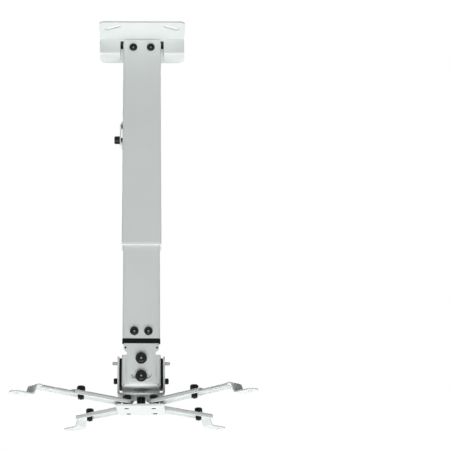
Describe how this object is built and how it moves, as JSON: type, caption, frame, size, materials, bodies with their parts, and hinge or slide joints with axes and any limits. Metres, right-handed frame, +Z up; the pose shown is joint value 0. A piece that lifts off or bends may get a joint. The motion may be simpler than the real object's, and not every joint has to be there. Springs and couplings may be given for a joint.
{
  "type": "projector mount",
  "caption": "Ceiling projector mount: slotted ceiling plate, telescopic square column, roll and pitch tilt head, swivel hub and swinging sliding arms with screw feet.",
  "frame": {"origin": "on the ceiling plane, on the axis of the column", "axes": "+Z up into the ceiling, +X to the right and +Y to the rear, seen from the front of the mount"},
  "size_m": [0.275, 0.2553, 0.5005],
  "materials": {
    "silver_paint": "satin silver white powder coat",
    "black_steel": "black oxide",
    "bare_steel": "zinc plated",
    "white_nylon": "moulded",
    "black_plastic": "moulded"
  },
  "bodies": {
    "ceiling_base": {"ceiling_plate": "silver_paint", "ceiling_channel": "silver_paint", "outer_tube": "silver_paint", "column_collar": "white_nylon", "top_bolt_left": "black_steel", "top_bolt_right": "black_steel", "lock_saddle": "silver_paint", "lock_screw": "black_steel", "lock_nut": "bare_steel"},
    "column": {"inner_tube": "silver_paint", "end_cap": "black_plastic", "head_tongue": "silver_paint", "tongue_bolt_left": "black_steel", "tongue_bolt_right": "black_steel"},
    "roll_head": {"tilt_box": "silver_paint", "roll_pivot_bolt": "black_steel", "roll_clamp_bolt": "black_steel", "tilt_axle": "bare_steel", "axle_spacer_left": "black_plastic", "axle_spacer_right": "black_plastic", "tilt_screw_left": "black_steel", "tilt_screw_right": "black_steel"},
    "pitch_yoke": {"tilt_yoke": "silver_paint"},
    "swivel_hub": {"hub_plate": "silver_paint", "swivel_stud": "black_steel", "swivel_nut": "black_steel", "arm_rivet_front_left": "black_steel", "arm_rivet_front_right": "black_steel", "arm_rivet_rear_left": "black_steel", "arm_rivet_rear_right": "black_steel"},
    "arm_front_left": {"swing_arm_front_left": "silver_paint", "arm_screw_front_left": "black_steel", "arm_nut_front_left": "black_steel"},
    "foot_front_left": {"foot_arm_front_left": "silver_paint"},
    "arm_front_right": {"swing_arm_front_right": "silver_paint", "arm_screw_front_right": "black_steel", "arm_nut_front_right": "black_steel"},
    "foot_front_right": {"foot_arm_front_right": "silver_paint"},
    "arm_rear_left": {"swing_arm_rear_left": "silver_paint", "arm_screw_rear_left": "black_steel", "arm_nut_rear_left": "black_steel"},
    "foot_rear_left": {"foot_arm_rear_left": "silver_paint"},
    "arm_rear_right": {"swing_arm_rear_right": "silver_paint", "arm_screw_rear_right": "black_steel", "arm_nut_rear_right": "black_steel"},
    "foot_rear_right": {"foot_arm_rear_right": "silver_paint"}
  },
  "joints": [
    {"name": "column_height", "type": "slide", "parent": "ceiling_base", "child": "column", "axis": [0, 0, -1], "range_m": [-0.06, 0.05]},
    {"name": "head_roll", "type": "hinge", "parent": "column", "child": "roll_head", "pos_m": [0, -0.0086, -0.4355], "axis": [0, 1, 0], "range_deg": [-12, 12]},
    {"name": "head_pitch", "type": "hinge", "parent": "roll_head", "child": "pitch_yoke", "pos_m": [0, 0.014, -0.4365], "axis": [1, 0, 0], "range_deg": [-15, 15]},
    {"name": "hub_swivel", "type": "hinge", "parent": "pitch_yoke", "child": "swivel_hub", "pos_m": [0, 0.014, -0.4777], "axis": [0, 0, 1], "continuous": true},
    {"name": "arm_swing_front_left", "type": "hinge", "parent": "swivel_hub", "child": "arm_front_left", "pos_m": [-0.01716, -0.00118, -0.48615], "axis": [0, 0, 1], "range_deg": [-30, 30]},
    {"name": "foot_slide_front_left", "type": "slide", "parent": "arm_front_left", "child": "foot_front_left", "axis": [-0.7302, -0.6833, 0], "range_m": [-0.059, 0]},
    {"name": "arm_swing_front_right", "type": "hinge", "parent": "swivel_hub", "child": "arm_front_right", "pos_m": [0.01518, -0.00316, -0.48615], "axis": [0, 0, 1], "range_deg": [-30, 30]},
    {"name": "foot_slide_front_right", "type": "slide", "parent": "arm_front_right", "child": "foot_front_right", "axis": [0.6414, -0.7672, 0], "range_m": [-0.057, 0.002]},
    {"name": "arm_swing_rear_left", "type": "hinge", "parent": "swivel_hub", "child": "arm_rear_left", "pos_m": [-0.01518, 0.03116, -0.48615], "axis": [0, 0, 1], "range_deg": [-30, 30]},
    {"name": "foot_slide_rear_left", "type": "slide", "parent": "arm_rear_left", "child": "foot_rear_left", "axis": [-0.6896, 0.7242, 0], "range_m": [-0.002, 0.057]},
    {"name": "arm_swing_rear_right", "type": "hinge", "parent": "swivel_hub", "child": "arm_rear_right", "pos_m": [0.01716, 0.02918, -0.48615], "axis": [0, 0, 1], "range_deg": [-30, 30]},
    {"name": "foot_slide_rear_right", "type": "slide", "parent": "arm_rear_right", "child": "foot_rear_right", "axis": [0.7649, 0.6441, 0], "range_m": [0, 0.059]}
  ]
}
